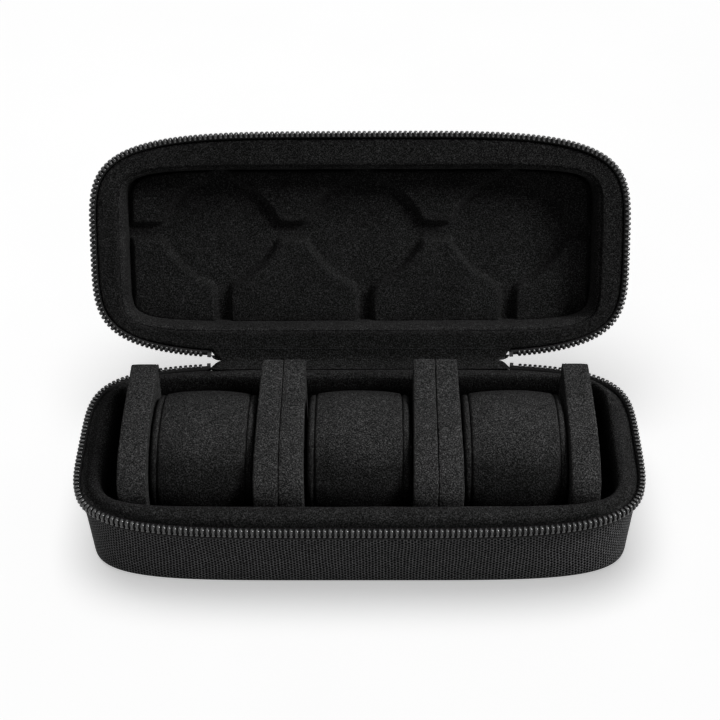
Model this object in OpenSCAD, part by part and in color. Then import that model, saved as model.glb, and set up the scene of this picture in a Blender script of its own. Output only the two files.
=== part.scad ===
// Travel case for three watches: zipped hard case with a padded lining,
// three watch pillows between padded cheeks and a moulded lid.
// Millimetres, +Z up, the case stands on Z = 0, its front is at -Y.

/* [Case] */
// Overall width of the zip rim
case_w = 265; // [220:1:320]
// Overall depth of the zip rim
case_d = 113; // [100:1:140]
// Height of the base below the parting plane
base_h = 42; // [38:1:60]
// Height of the lid above the parting plane
lid_h = 27; // [26:1:40]
// Squareness of the outer outline
outline_power = 4.3; // [3:0.1:6]
// Squareness of the base's foot
foot_power = 5; // [3:0.1:6]
// Squareness of the opening inside the rim
mouth_power = 8; // [5:0.5:10]
// Angle by which the lid stands open, degrees
lid_open = 120; // [100:1:125]

/* [Walls] */
// How far the walls lie inside the zip rim
wall_inset = 3.4; // [3:0.1:5]
// Thickness of the woven cover
cover_t = 0.8; // [0.5:0.1:1.2]
// Width of the padded rim from the cover to the opening
rim_w = 10.7; // [8:0.1:14]
// Thickness of the lining on the walls
lining_t = 1.4; // [1:0.1:2]
// Thickness of the padded rim
rim_t = 2; // [1.4:0.1:3]
// Half of the gap between the two rims when closed
rim_gap = 0.3; // [0.2:0.05:0.6]
// How far the base's lip reaches up past the zip
lip_rise = 1.8; // [0:0.1:1.8]
// Extra width of the base's rim in front
base_front_pad = 2; // [0:0.1:2.5]
// How much narrower the base's rim is at the hinge
base_back_cut = 1; // [0:0.1:1.5]
// Extra width of the lid's rim in front
lid_front_pad = 3; // [0:0.1:3]

/* [Zip] */
// Height of one row of teeth
coil_h = 3.85; // [3:0.05:4.5]
// Depth of one row of teeth
coil_w = 2.6; // [2:0.1:3]
// Half of the gap between the two rows of teeth
coil_gap = 0.45; // [0.4:0.05:0.8]
// Spacing of the teeth
tooth_pitch = 2.4; // [2:0.1:4]
// Depth of the notches between teeth
tooth_notch = 0.7; // [0.3:0.1:1]
// Half of the width of the fabric hinge
hinge_half = 74; // [60:1:80]
// Height of the piping below the teeth
piping_h = 1.2; // [0.8:0.1:2]

/* [Sliders] */
// Length of a slider along the zip
slider_l = 9; // [7:0.5:12]
// Running clearance of a slider on the teeth
slider_fit = 0.2; // [0.15:0.05:0.35]
// Distance of a resting slider from the hinge's end
slider_off = 30; // [7:1:30]
// Length of a pull tab
pull_l = 18; // [12:1:24]

/* [Cheeks] */
// Thickness of the cheeks beside a seam
cheek_t = 11; // [8:0.1:13]
// Thickness of the two outer cheeks
end_cheek_t = 13; // [8:0.1:15]
// Room between an outer cheek and the end of the opening
end_gap = 8.9; // [6.5:0.1:14]
// Height of the cheeks above the rim
cheek_rise = 17.7; // [8:0.1:17.7]
// Room between the cheeks and the front of the opening
front_gap = 1.6; // [1.2:0.1:6]
// Room between the cheeks and the back of the lid's opening
back_gap = 3.2; // [2.6:0.1:8]
// How much shorter the outer cheeks are at each end
end_cheek_cut = 2; // [1.8:0.1:6]
// Thickness of the board under a unit
board_t = 1.5; // [1:0.1:3]

/* [Pillows] */
// Room between a pillow and the cheeks beside it
pillow_gap = 1.6; // [1:0.1:4]
// How far a pillow ends behind the front of the cheeks
pillow_setback = 5.3; // [4:0.1:10]
// Height of the pillow's crown above the rim
pillow_rise = 17.4; // [8:0.1:17.4]
// Crown of the pillow across its width
pillow_crown = 1.6; // [0.5:0.1:3]
// Width of the rounded end rings
ring_w = 4.4; // [3:0.1:6]
// Thickness of the pillow's cover
pillow_skin = 2; // [1.2:0.1:3]

/* [Lid panel] */
// Depth of the round recesses below the parting plane
recess_depth = 21.2; // [20:0.1:24]
// Height of the raised pads
pad_h = 3; // [1:0.1:3]
// Radius of a round recess
recess_r = 28.6; // [24:0.1:32]
// Sideways shift of the pattern
recess_shift = 2.3; // [-3:0.1:3]
// Distance of the recess centres from the middle, away from the hinge
recess_y = 7.8; // [0:0.1:9]
// Width of the channels up and down from a recess
channel_w = 5.3; // [3:0.1:8]
// Height of the necks between recesses
neck_h = 4.6; // [3:0.1:8]
// Thickness of the panel's back
panel_t = 1.4; // [1:0.1:2]

/* [Hidden] */
segs = 72;
row_segs = 40;
pull_fit = 0.15;
clear_fit = 0.2;
base_r = 3;
foot_taper = 0.08;
lid_taper = 0.045;
lid_r = 10;
half_w = case_w / 2;
half_d = case_d / 2;
hinge_y = half_d;
mouth_w = half_w - wall_inset - rim_w;
mouth_d = half_d - wall_inset - rim_w;
base_floor = base_h - cover_t - 2;
base_seat = base_floor - lining_t;
board_top = base_seat - board_t;
lid_floor = recess_depth + panel_t;
zip_foot = coil_gap + coil_h + 1.2;
shell_top = rim_gap + rim_t;
lid_top = shell_top + lip_rise;
base_mouth = [mouth_d + (base_back_cut - base_front_pad) / 2, (base_back_cut + base_front_pad) / 2];
lid_mouth = [mouth_d - lid_front_pad / 2, lid_front_pad / 2];
end_cheek_x = mouth_w - end_gap;
seam_x = end_cheek_x / 3 - 0.2;
unit_x = (end_cheek_x - end_cheek_t + seam_x + cheek_t) / 2;
cheek_front = mouth_d - base_front_pad - front_gap;
cheek_back = mouth_d - back_gap;
pillow_w = 2 * (seam_x - cheek_t - pillow_gap);
pillow_half = cheek_front - pillow_setback;
slider_x = hinge_half + slider_off;
teeth = round(outline_length() / tooth_pitch);
left_x = [-end_cheek_x, -seam_x - 0.1];
middle_x = [-seam_x + 0.1, seam_x - 0.1];
right_x = [seam_x + 0.1, end_cheek_x];
pillow_c = (pillow_rise - board_top) / 2;
pillow_up = (pillow_rise + board_top) / 2 - 0.1;
cover_half_w = pillow_w / 2 - ring_w;
cover_stations = [-1, -0.8, -0.5, 0, 0.5, 0.8, 1];

fabric_c = [0.10, 0.10, 0.11];
foam_c = [0.30, 0.30, 0.32];
lining_c = [0.16, 0.16, 0.17];
cheek_c = [0.22, 0.22, 0.23];
zip_c = [0.05, 0.05, 0.06];
metal_c = [0.35, 0.35, 0.37];
piping_c = [0.12, 0.12, 0.13];

// Outlines: points of the rim, moved inwards by an inset

function spow(v, e) = sign(v) * pow(abs(v), e);
function spin(i) = 360 * i / segs;

// Point of a superellipse in the direction q
function oval(q, a, b, n) =
    let (r = pow(pow(abs(cos(q)) / a, n) + pow(abs(sin(q)) / b, n), -1 / n))
    [r * cos(q), r * sin(q)];

// Unit normal of a superellipse at one of its points
function oval_n(p, a, b, n) =
    let (g = [spow(p.x / a, n - 1) / a, spow(p.y / b, n - 1) / b])
    g / norm(g);

function out_q(i) =
    let (t = spin(i), e = 2 / outline_power)
    atan2(half_d * spow(sin(t), e), half_w * spow(cos(t), e));

function out_at(q, inset, n = outline_power) =
    let (p = oval(q, half_w, half_d, n))
    p - inset * oval_n(p, half_w, half_d, n);

// Outer ring, and the ring of the opening inside the padded rim
function out_pt(i, inset, n) = out_at(out_q(i), inset, n);
function in_pt(i, inset, m) =
    let (
        o = oval(out_q(i), half_w, half_d, outline_power),
        q = atan2(o.y * m[0] / half_d, o.x * mouth_w / half_w),
        p = oval(q, mouth_w, m[0], mouth_power)
    )
    p - inset * oval_n(p, mouth_w, m[0], mouth_power) + [0, m[1]];

function out_ring(inset, n = outline_power) =
    [for (i = [0:segs - 1]) out_pt(i, inset, n)];
function in_ring(inset, m) = [for (i = [0:segs - 1]) in_pt(i, inset, m)];
function mix_ring(k, inset, m) =
    let (a = out_ring(wall_inset + 0.2), b = in_ring(inset, m))
    [for (i = [0:segs - 1]) (1 - k) * a[i] + k * b[i]];

// Length of the outline and points at equal steps along it
function outline_steps() = [
    for (j = [0:720]) oval(j / 2, half_w, half_d, outline_power)
];
function run_sums(p) = [
    for (i = 0, s = 0; i < len(p);
        s = s + (i + 1 < len(p) ? norm(p[i + 1] - p[i]) : 0), i = i + 1) s
];
function outline_length() =
    let (s = run_sums(outline_steps())) s[len(s) - 1];

// Solids lofted through rings

function ring3(r, z) = [for (p = r) [p.x, p.y, z]];
function side_faces(n, rows, turned) = [
    for (k = [0:rows - 2]) for (i = [0:n - 1])
        let (a = k * n + i, b = k * n + (i + 1) % n)
        each turned
            ? [[a, a + n, b], [b, a + n, b + n]]
            : [[a, a + n, b + n], [a, b + n, b]]
];

// Capped at both ends; rows run from the outer bottom to the inner floor.
// A turned cup splits its sides along the other diagonals, so that a
// surface shared with the next cup is split alike in both.
module cup(rows, turned = false) {
    n = len(rows[0]);
    polyhedron(
        points = [for (r = rows) each r],
        faces = concat(
            [[for (i = [0:n - 1]) i]],
            side_faces(n, len(rows), turned),
            [[for (i = [0:n - 1]) len(rows) * n - 1 - i]]
        ),
        convexity = 6
    );
}

// Closed on itself; rows run up the outside and down the inside
module hoop(rows) {
    n = len(rows[0]);
    m = len(rows);
    polyhedron(
        points = [for (r = rows) each r],
        faces = [
            for (k = [0:m - 1]) for (i = [0:n - 1])
                let (
                    a = k * n + i,
                    b = k * n + (i + 1) % n,
                    c = ((k + 1) % m) * n + (i + 1) % n,
                    d = ((k + 1) % m) * n + i
                ) each [[a, d, c], [a, c, b]]
        ],
        convexity = 6
    );
}

function flip(v) = [for (i = [len(v) - 1:-1:0]) v[i]];
function out_rows(path) = [for (p = path) ring3(out_ring(p[0], p[2]), -p[1])];
function in_rows(path, m) = [for (p = path) ring3(in_ring(p[0], m), -p[1])];
function mix_rows(path, m) =
    [for (p = path) ring3(mix_ring(p[0], 0, m), -p[1])];

// Wall sections: inset, depth from the parting plane, squareness
// f holds the height, bottom radius, taper and squareness of the foot

base_foot = [base_h, base_r, foot_taper, foot_power];
lid_foot = [lid_h, lid_r, lid_taper, outline_power];

function cover_out(f, top) =
    let (h = f[0], r = f[1], n = f[3], low = wall_inset + f[2] * (h - r - 9))
    [
        [wall_inset, top, outline_power],
        [wall_inset, zip_foot + 2.5, outline_power],
        [low, h - r, n],
        [low + 0.13 * r, h - 0.5 * r, n],
        [low + 0.5 * r, h - 0.13 * r, n],
        [low + r, h, n]
    ];
function cover_in(f, top) = [
    for (k = [0:5])
        let (
            p = cover_out(f, top)[k],
            u = [[1, 0], [1, 0], [0.99, -0.12], [0.87, -0.5],
                [0.5, -0.87], [0, -1]][k]
        )
        [p[0] + cover_t * u[0], p[1] + cover_t * u[1], p[2]]
];
// Lining: depth list of the wall inside the opening
function lining_wall(h) = [
    [0.2, shell_top + 0.9],
    [1.1, h * 0.55],
    [2.2, h - 4.6],
    [3.8, h - 1.2],
    [7.2, h]
];
function lining_back(h) = [
    [-1.2, shell_top],
    [-0.3, h * 0.55],
    [0.8, h - 4.2],
    [2.9, h + 0.2],
    [6.8, h + lining_t]
];
function lid_wall(h) = [
    [0.2, lid_top + 0.9],
    [0.7, h * 0.5],
    [1.2, recess_depth],
    [1.3, h]
];
function lid_back(h) = [
    [-1.2, lid_top],
    [-0.7, h * 0.5],
    [-0.2, recess_depth],
    [1.0, h + lining_t]
];
// Crowns of the two lips: share of the rim's width and depth
base_rim = [
    [0, rim_gap + 1],
    [0.1, rim_gap + 0.1],
    [0.3, rim_gap - 0.65 * lip_rise],
    [0.55, rim_gap - lip_rise],
    [0.8, rim_gap - 0.7 * lip_rise],
    [1, rim_gap + 0.9]
];
lid_rim = [
    [0, rim_gap + 0.5],
    [0.1, rim_gap + 0.5],
    [0.3, rim_gap + 0.9 * lip_rise],
    [0.55, rim_gap + lip_rise],
    [0.8, rim_gap + lip_rise + 0.1],
    [1, rim_gap + lip_rise + 0.9]
];

module cover_half(f, top) {
    cup(concat(
        flip(out_rows(cover_out(f, top))),
        out_rows(cover_in(f, top))
    ), true);
}

module shell_half(f, back, m, top) {
    cup(concat(flip(out_rows(cover_in(f, top))), in_rows(back, m)));
}

module lining_half(back, wall, lip, m, top) {
    cup(concat(
        flip(in_rows(back, m)),
        [ring3(mix_ring(0, 0, m), -top)],
        mix_rows(lip, m),
        in_rows(wall, m)
    ));
}

// Zip rows around the rim, open at the hinge

module hinge_span(w, d) {
    translate([-w, half_d - d])
        square([2 * w, d + 5]);
}

module rim_strip(i0, i1, h0, h1) {
    translate([0, 0, -h1])
        linear_extrude(h1 - h0)
            difference() {
                polygon(out_ring(i0));
                polygon(out_ring(i1));
                hinge_span(hinge_half + 0.2, 12);
            }
}

module zip_teeth() {
    steps = outline_steps();
    sums = run_sums(steps);
    turns = [for (j = [0:720]) [sums[j], j / 2]];
    full = sums[720];
    tips = [
        for (k = [0:2 * teeth - 1])
            out_at(
                lookup(k * full / (2 * teeth), turns),
                k % 2 == 0 ? 0 : tooth_notch
            )
    ];
    translate([0, 0, -coil_gap - coil_h])
        linear_extrude(coil_h)
            difference() {
                polygon(tips);
                polygon(out_ring(coil_w));
                hinge_span(hinge_half + 2.2, 12);
            }
}

module zip_stop(side) {
    x = hinge_half + 0.3;
    q = atan2(
        half_d * pow(1 - pow(x / half_w, outline_power), 1 / outline_power),
        x
    );
    a = out_at(q, 0.3);
    b = out_at(q, coil_w);
    translate([0, 0, -coil_gap - coil_h])
        linear_extrude(coil_h)
            polygon([
                [side * a.x, a.y],
                [side * (a.x + 1.8), a.y - 0.15],
                [side * (b.x + 1.8), b.y - 0.15],
                [side * b.x, b.y]
            ]);
}

// Fabric hinge between the two halves

module hinge_leaf(edge) {
    translate([0, 0, -zip_foot - piping_h])
        linear_extrude(zip_foot + piping_h - shell_top)
            intersection() {
                difference() {
                    translate([-hinge_half, half_d - 12])
                        square([2 * hinge_half, 12 - edge]);
                    polygon(out_ring(wall_inset));
                }
                translate([-hinge_half, half_d - 12])
                    square([2 * hinge_half, 12]);
            }
}

module hinge_flap() {
    translate([0, 0, -shell_top])
        linear_extrude(rim_t)
            difference() {
                translate([-hinge_half, half_d - 12])
                    square([2 * hinge_half, 10.6]);
                polygon(out_ring(wall_inset + 0.2));
            }
}

module hinge_fold() {
    translate([-hinge_half, hinge_y, 0])
        rotate([0, 90, 0])
            cylinder(h = 2 * hinge_half, r = 0.7, $fn = 24);
    translate([-hinge_half, hinge_y - 1.2, -shell_top])
        cube([2 * hinge_half, 0.9, shell_top - 0.2]);
}

// Sliders and pull tabs

module slider_frame(side) {
    q = atan2(
        half_d * pow(1 - pow(slider_x / half_w, outline_power),
            1 / outline_power),
        slider_x
    );
    p = out_at(q, 0);
    m = oval_n(p, half_w, half_d, outline_power);
    translate([side * p.x, p.y, 0])
        rotate([0, 0, side * (atan2(m.y, m.x) - 90)])
            children();
}

// Local: X along the zip, Y away from the case
module slider_body() {
    top = coil_gap - clear_fit - 0.05;
    foot = -coil_gap - coil_h - slider_fit - 0.9;
    gap = slider_fit + 0.15;
    translate([-slider_l / 2, gap, foot])
        cube([slider_l, 1.2, top - foot]);
    translate([-slider_l / 2, -1.5, foot])
        cube([slider_l, 1.5 + gap + 0.1, 0.9]);
    translate([-slider_l / 2, -1.9, -coil_gap + slider_fit])
        cube([slider_l, 1.9 + gap + 0.1, top + coil_gap - slider_fit]);
    for (s = [-1, 1])
        translate([s * 2.9 - 0.5, gap + 1.1, -3.6])
            cube([1, 2.3, 2.2]);
    translate([-2.9, gap + 2.35, -2.5])
        rotate([0, 90, 0])
            cylinder(h = 5.8, r = 0.55, $fn = 24);
}

module pull_body() {
    y0 = slider_fit + 0.15 + 2.35;
    translate([0, y0, -2.5])
        difference() {
            union() {
                translate([-2.1, 0, 0])
                    rotate([0, 90, 0])
                        cylinder(h = 4.2, r = 1.15, $fn = 24);
                translate([-2.1, -0.55, -5])
                    cube([4.2, 1.1, 4.6]);
                translate([0, 0.55, -pull_l + 2])
                    rotate([90, 0, 0])
                        linear_extrude(1.1)
                            pull_outline();
            }
            translate([-3, 0, 0])
                rotate([0, 90, 0])
                    cylinder(h = 6, r = 0.55 + pull_fit, $fn = 24);
        }
}

module pull_outline() {
    difference() {
        union() {
            translate([0, 1.2])
                circle(r = 3.2, $fn = 32);
            polygon([[-3.2, 1.2], [3.2, 1.2], [2.1, pull_l - 6.5],
                [-2.1, pull_l - 6.5]]);
        }
        translate([0, 1.4])
            circle(r = 1.5, $fn = 24);
    }
}

// Padded cheeks, their boards and the pillows

// Side outline of a cheek: Y and height from the parting plane
function cheek_side(front, back) =
    let (yc = 8, zc = -8, n = 12, low = -board_top)
    concat(
        [[-front + 5.6, low], [-front + 3.8, low + 2.6],
            [-front + 1.4, low + 12]],
        [
            for (k = [0:n])
                let (t = 90 * k / n)
                [
                    yc - (front + yc) * pow(cos(t), 2 / 2.9),
                    zc + (cheek_rise - zc) * pow(sin(t), 2 / 2.9)
                ]
        ],
        [
            for (k = [n - 1:-1:0])
                let (t = 90 * k / n)
                [
                    yc + (back - yc) * pow(cos(t), 2 / 7.5),
                    zc + (cheek_rise - zc) * pow(sin(t), 2 / 7.5)
                ]
        ],
        [[back - 1.4, low + 12], [back - 3.8, low + 2.6],
            [back - 5.6, low]]
    );

// Edge rounding: place across the thickness and shrink of the outline
function edge_steps(t) = [[0, 1], [0.25, 0.35], [1, 0], [t - 1, 0],
    [t - 0.25, 0.35], [t, 1]];

function shrink(p, e) =
    let (c = [0, -10], d = norm(p - c)) c + (p - c) * (1 - e / d);

module cheek(x0, x1, front, back) {
    side = cheek_side(front, back);
    color(cheek_c)
        translate([0, 0, base_h])
            cup([for (s = edge_steps(x1 - x0))
                [for (p = side) let (q = shrink(p, s[1]))
                    [x0 + s[0], q.x, q.y]]]);
}

module board(x) {
    color(foam_c)
        translate([x[0] + 0.2, -cheek_front + 6.6, base_h - base_seat])
            cube([x[1] - x[0] - 0.4, cheek_front + cheek_back - 13.2,
                board_t]);
}

// Section of a pillow: Y and height, drawn in by an amount
function pillow_ring(x, e) = [
    for (i = [0:row_segs - 1])
        let (t = 360 * i / row_segs, n = 2.15)
        [
            x,
            (pillow_half - e) * spow(cos(t), 2 / n),
            pillow_c + (pillow_up - e) * spow(sin(t), 2 / n)
        ]
];
function crown_at(u) = pillow_crown * u * u;

module pillow_cover(x) {
    color(lining_c)
        translate([x, 0, base_h])
            hoop(concat(
                [for (u = cover_stations)
                    pillow_ring(u * cover_half_w, crown_at(u))],
                [for (u = [1, -1])
                    pillow_ring(u * cover_half_w, pillow_skin + 1.6)]
            ));
}

module pillow_core(x) {
    color(foam_c)
        translate([x, 0, base_h])
            cup([for (u = [-1, 1])
                pillow_ring(u * cover_half_w, pillow_skin + 1.6)]);
}

module pillow_end(x, side) {
    steps = [[0, pillow_crown + 0.9], [0.8, pillow_crown + 0.2],
        [2.4, pillow_crown + 0.5], [3.7, pillow_crown + 2],
        [ring_w, pillow_crown + 4.2]];
    rows = [for (s = steps)
        pillow_ring(side * (cover_half_w + s[0]), s[1])];
    color(lining_c)
        translate([x, 0, base_h])
            cup(side > 0 ? rows : flip(rows));
}

// Moulded lid panel and the padded band around it

module panel_field() {
    polygon(in_ring(1.3, lid_mouth));
}

module panel_recesses() {
    for (k = [-1:1])
        translate([k * unit_x + recess_shift, -recess_y]) {
            circle(r = recess_r, $fn = 64);
            translate([-channel_w / 2, -case_d / 2])
                square([channel_w, case_d]);
        }
    translate([-case_w / 2, -recess_y - neck_h / 2])
        square([case_w, neck_h]);
}

module panel_half() {
    translate([0, 0, -lid_floor])
        linear_extrude(panel_t)
            panel_field();
    translate([0, 0, -lid_floor])
        linear_extrude(panel_t + pad_h)
            difference() {
                polygon(in_ring(2.6, lid_mouth));
                panel_recesses();
            }
}

module band_half() {
    d0 = lid_top + 1.6;
    d1 = recess_depth;
    dm = lid_wall(lid_floor)[1][1];
    hoop(concat(
        [ring3(in_ring(lid_wall(lid_floor)[2][0], lid_mouth), -d1),
            ring3(in_ring(lid_wall(lid_floor)[1][0], lid_mouth), -dm),
            ring3(in_ring(wall_hold(d0), lid_mouth), -d0)],
        [for (p = [[1.3, d0 + 0.3], [1.9, d0 + 3], [2.2, d0 + 9],
            [2.3, d1]])
            ring3(in_ring(p[0], lid_mouth), -p[1])]
    ));
}
function wall_hold(d) =
    let (a = lid_wall(lid_floor)[0], b = lid_wall(lid_floor)[1])
    a[0] + (b[0] - a[0]) * (d - a[1]) / (b[1] - a[1]);

// Placing the halves

module in_base() {
    translate([0, 0, base_h])
        children();
}

module in_lid() {
    translate([0, hinge_y, base_h])
        rotate([-lid_open, 0, 0])
            translate([0, -hinge_y, 0])
                mirror([0, 0, 1])
                    children();
}

// Base

module base_cover() {
    color(fabric_c) in_base() cover_half(base_foot, shell_top);
}
module base_shell() {
    color(foam_c) in_base()
        shell_half(base_foot, lining_back(base_seat), base_mouth, shell_top);
}
module base_lining() {
    color(lining_c) in_base()
        lining_half(lining_back(base_seat), lining_wall(base_seat), base_rim,
            base_mouth, shell_top);
}
module base_tape() {
    color(zip_c) in_base()
        rim_strip(coil_w, wall_inset, coil_gap + 0.2, zip_foot);
}
module base_teeth() { color(zip_c) in_base() zip_teeth(); }
module base_piping() {
    color(piping_c) in_base()
        rim_strip(1.2, wall_inset, zip_foot, zip_foot + piping_h);
}
module base_stop_left() { color(metal_c) in_base() zip_stop(-1); }
module base_stop_right() { color(metal_c) in_base() zip_stop(1); }
module hinge_base_leaf() {
    color(fabric_c) in_base() {
        hinge_leaf(0.3);
        hinge_fold();
    }
}
module hinge_base_flap() { color(lining_c) in_base() hinge_flap(); }

// Units: board, two cheeks and a pillow each

module board_left() { board(left_x); }
module board_middle() { board(middle_x); }
module board_right() { board(right_x); }
module cheek_left_outer() {
    cheek(-end_cheek_x, -end_cheek_x + end_cheek_t,
        cheek_front - end_cheek_cut, cheek_back - end_cheek_cut - 0.5);
}
module cheek_left_inner() {
    cheek(-seam_x - cheek_t, -seam_x - 0.1, cheek_front, cheek_back);
}
module cheek_middle_left() {
    cheek(-seam_x + 0.1, -seam_x + cheek_t, cheek_front, cheek_back);
}
module cheek_middle_right() {
    cheek(seam_x - cheek_t, seam_x - 0.1, cheek_front, cheek_back);
}
module cheek_right_inner() {
    cheek(seam_x + 0.1, seam_x + cheek_t, cheek_front, cheek_back);
}
module cheek_right_outer() {
    cheek(end_cheek_x - end_cheek_t, end_cheek_x,
        cheek_front - end_cheek_cut, cheek_back - end_cheek_cut - 0.5);
}
module pillow_left_cover() { pillow_cover(-unit_x); }
module pillow_left_core() { pillow_core(-unit_x); }
module pillow_left_ring_a() { pillow_end(-unit_x, -1); }
module pillow_left_ring_b() { pillow_end(-unit_x, 1); }
module pillow_middle_cover() { pillow_cover(0); }
module pillow_middle_core() { pillow_core(0); }
module pillow_middle_ring_a() { pillow_end(0, -1); }
module pillow_middle_ring_b() { pillow_end(0, 1); }
module pillow_right_cover() { pillow_cover(unit_x); }
module pillow_right_core() { pillow_core(unit_x); }
module pillow_right_ring_a() { pillow_end(unit_x, -1); }
module pillow_right_ring_b() { pillow_end(unit_x, 1); }

// Sliders

module slider_left() {
    color(metal_c) in_base() slider_frame(-1) slider_body();
}
module slider_right() {
    color(metal_c) in_base() slider_frame(1) slider_body();
}
module pull_left() { color(metal_c) in_base() slider_frame(-1) pull_body(); }
module pull_right() { color(metal_c) in_base() slider_frame(1) pull_body(); }

// Lid

module lid_cover() {
    color(fabric_c) in_lid() cover_half(lid_foot, lid_top);
}
module lid_shell() {
    color(foam_c) in_lid()
        shell_half(lid_foot, lid_back(lid_floor), lid_mouth, lid_top);
}
module lid_lining() {
    color(lining_c) in_lid()
        lining_half(lid_back(lid_floor), lid_wall(lid_floor), lid_rim,
            lid_mouth, lid_top);
}
module lid_panel() { color(lining_c) in_lid() panel_half(); }
module lid_band() { color(cheek_c) in_lid() band_half(); }
module lid_tape() {
    color(zip_c) in_lid()
        rim_strip(coil_w, wall_inset, coil_gap + 0.2, zip_foot);
}
module lid_teeth() { color(zip_c) in_lid() zip_teeth(); }
module lid_piping() {
    color(piping_c) in_lid()
        rim_strip(1.2, wall_inset, zip_foot, zip_foot + piping_h);
}
module lid_stop_left() { color(metal_c) in_lid() zip_stop(-1); }
module lid_stop_right() { color(metal_c) in_lid() zip_stop(1); }
module hinge_lid_leaf() { color(fabric_c) in_lid() hinge_leaf(0.3); }
module hinge_lid_flap() { color(lining_c) in_lid() hinge_flap(); }

base_cover();
base_shell();
base_lining();
base_tape();
base_teeth();
base_piping();
base_stop_left();
base_stop_right();
hinge_base_leaf();
hinge_base_flap();
board_left();
board_middle();
board_right();
cheek_left_outer();
cheek_left_inner();
cheek_middle_left();
cheek_middle_right();
cheek_right_inner();
cheek_right_outer();
pillow_left_cover();
pillow_left_core();
pillow_left_ring_a();
pillow_left_ring_b();
pillow_middle_cover();
pillow_middle_core();
pillow_middle_ring_a();
pillow_middle_ring_b();
pillow_right_cover();
pillow_right_core();
pillow_right_ring_a();
pillow_right_ring_b();
slider_left();
slider_right();
pull_left();
pull_right();
lid_cover();
lid_shell();
lid_lining();
lid_panel();
lid_band();
lid_tape();
lid_teeth();
lid_piping();
lid_stop_left();
lid_stop_right();
hinge_lid_leaf();
hinge_lid_flap();
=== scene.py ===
import math

import bpy
import bmesh
from mathutils import Matrix, Vector, noise


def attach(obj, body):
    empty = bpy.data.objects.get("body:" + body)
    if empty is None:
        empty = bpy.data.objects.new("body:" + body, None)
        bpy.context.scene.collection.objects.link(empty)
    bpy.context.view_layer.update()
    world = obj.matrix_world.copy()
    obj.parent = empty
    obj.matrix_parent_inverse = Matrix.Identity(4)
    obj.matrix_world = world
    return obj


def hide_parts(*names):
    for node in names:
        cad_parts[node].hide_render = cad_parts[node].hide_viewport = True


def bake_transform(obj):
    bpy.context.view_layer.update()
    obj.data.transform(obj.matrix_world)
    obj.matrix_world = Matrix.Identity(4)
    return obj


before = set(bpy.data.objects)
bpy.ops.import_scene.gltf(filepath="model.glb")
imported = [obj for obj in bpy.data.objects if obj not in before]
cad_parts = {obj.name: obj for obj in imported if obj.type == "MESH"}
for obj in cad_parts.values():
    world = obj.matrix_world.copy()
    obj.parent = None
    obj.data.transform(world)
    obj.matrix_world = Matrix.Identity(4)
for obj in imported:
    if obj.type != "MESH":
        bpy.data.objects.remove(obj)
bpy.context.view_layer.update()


# Woven covers: the outer skins of the base and the lid. Black ballistic nylon
# is heat-pressed over a moulded foam shell and turned in behind the zip. The
# base's foot is squarer than its rim, and the lid has a wide rounded edge.
MM = 0.001
HALF_W, HALF_D, POWER = 132.5, 56.5, 4.3  # rim: half width, half depth, squareness
BASE_H, LID_H, LID_OPEN = 42.0, 27.0, math.radians(120)
WALL_IN = 3.4  # cover's wall behind the edge of the rim
TURN_IN = (3.0, 6.6)  # depths of the edge that is turned in behind the zip
WALL_TOP, TAPER_TOP = 8, 9  # depths where the wall and its taper begin
FOOT_R, FOOT_TAPER, FOOT_POWER = 3.0, 0.08, 5.0
CROWN_R, CROWN_TAPER = 10.0, 0.045
RING_N = 576  # points around a ring
FLOAT_W, FLOAT_H = 1.45, 0.96  # one float of the weave


def power(value, exponent):
    return math.copysign(abs(value) ** exponent, value)


def oval(q, a, b, n):
    """Point of a squarish oval in the direction q."""
    r = (abs(math.cos(q) / a) ** n + abs(math.sin(q) / b) ** n) ** (-1 / n)
    return r * math.cos(q), r * math.sin(q)


def oval_normal(x, y, a, b, n):
    gx, gy = power(x / a, n - 1) / a, power(y / b, n - 1) / b
    g = math.hypot(gx, gy)
    return gx / g, gy / g


def rim(q, inset=0.0):
    """Point of the rim's outline in the direction q, moved inwards."""
    x, y = oval(q, HALF_W, HALF_D, POWER)
    nx, ny = oval_normal(x, y, HALF_W, HALF_D, POWER)
    return x - inset * nx, y - inset * ny


def even_angles(count, start=0.0):
    """Directions of points at equal steps along the outline."""
    fine = 3600
    pts = [oval(start + 2 * math.pi * i / fine, HALF_W, HALF_D, POWER) for i in range(fine + 1)]
    run = [0.0]
    for a, b in zip(pts, pts[1:]):
        run.append(run[-1] + math.hypot(b[0] - a[0], b[1] - a[1]))
    out, j = [], 0
    for k in range(count):
        want = run[-1] * k / count
        while run[j + 1] < want:
            j += 1
        t = (want - run[j]) / (run[j + 1] - run[j])
        out.append(start + 2 * math.pi * (j + t) / fine)
    return out, run[-1]


RING_Q, RIM_LENGTH = even_angles(RING_N)


def in_base(x, y, depth):
    return Vector((x, y, BASE_H - depth)) * MM


def in_lid(x, y, depth):
    c, s = math.cos(LID_OPEN), math.sin(LID_OPEN)
    v = HALF_D - y
    return Vector((x, HALF_D - c * v + s * depth, BASE_H + s * v + c * depth)) * MM


def new_mesh(name, verts, faces, material, uv=None, smooth=True):
    """Object at the origin with its place in its mesh, and where the cloth's
    grain needs one, a UV map in millimetres."""
    mesh = bpy.data.meshes.new(name)
    mesh.from_pydata([tuple(v) for v in verts], [], faces)
    if uv:
        layer = mesh.uv_layers.new(name="grain")
        for poly in mesh.polygons:
            for corner in poly.loop_indices:
                layer.data[corner].uv = uv[corner]
    mesh.materials.append(material)
    for poly in mesh.polygons:
        poly.use_smooth = smooth
    obj = bpy.data.objects.new(name, mesh)
    bpy.context.scene.collection.objects.link(obj)
    return obj


def recalc(obj):
    """Turn all faces outwards."""
    work = bmesh.new()
    work.from_mesh(obj.data)
    bmesh.ops.recalc_face_normals(work, faces=work.faces)
    work.to_mesh(obj.data)
    work.free()
    return obj


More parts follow.
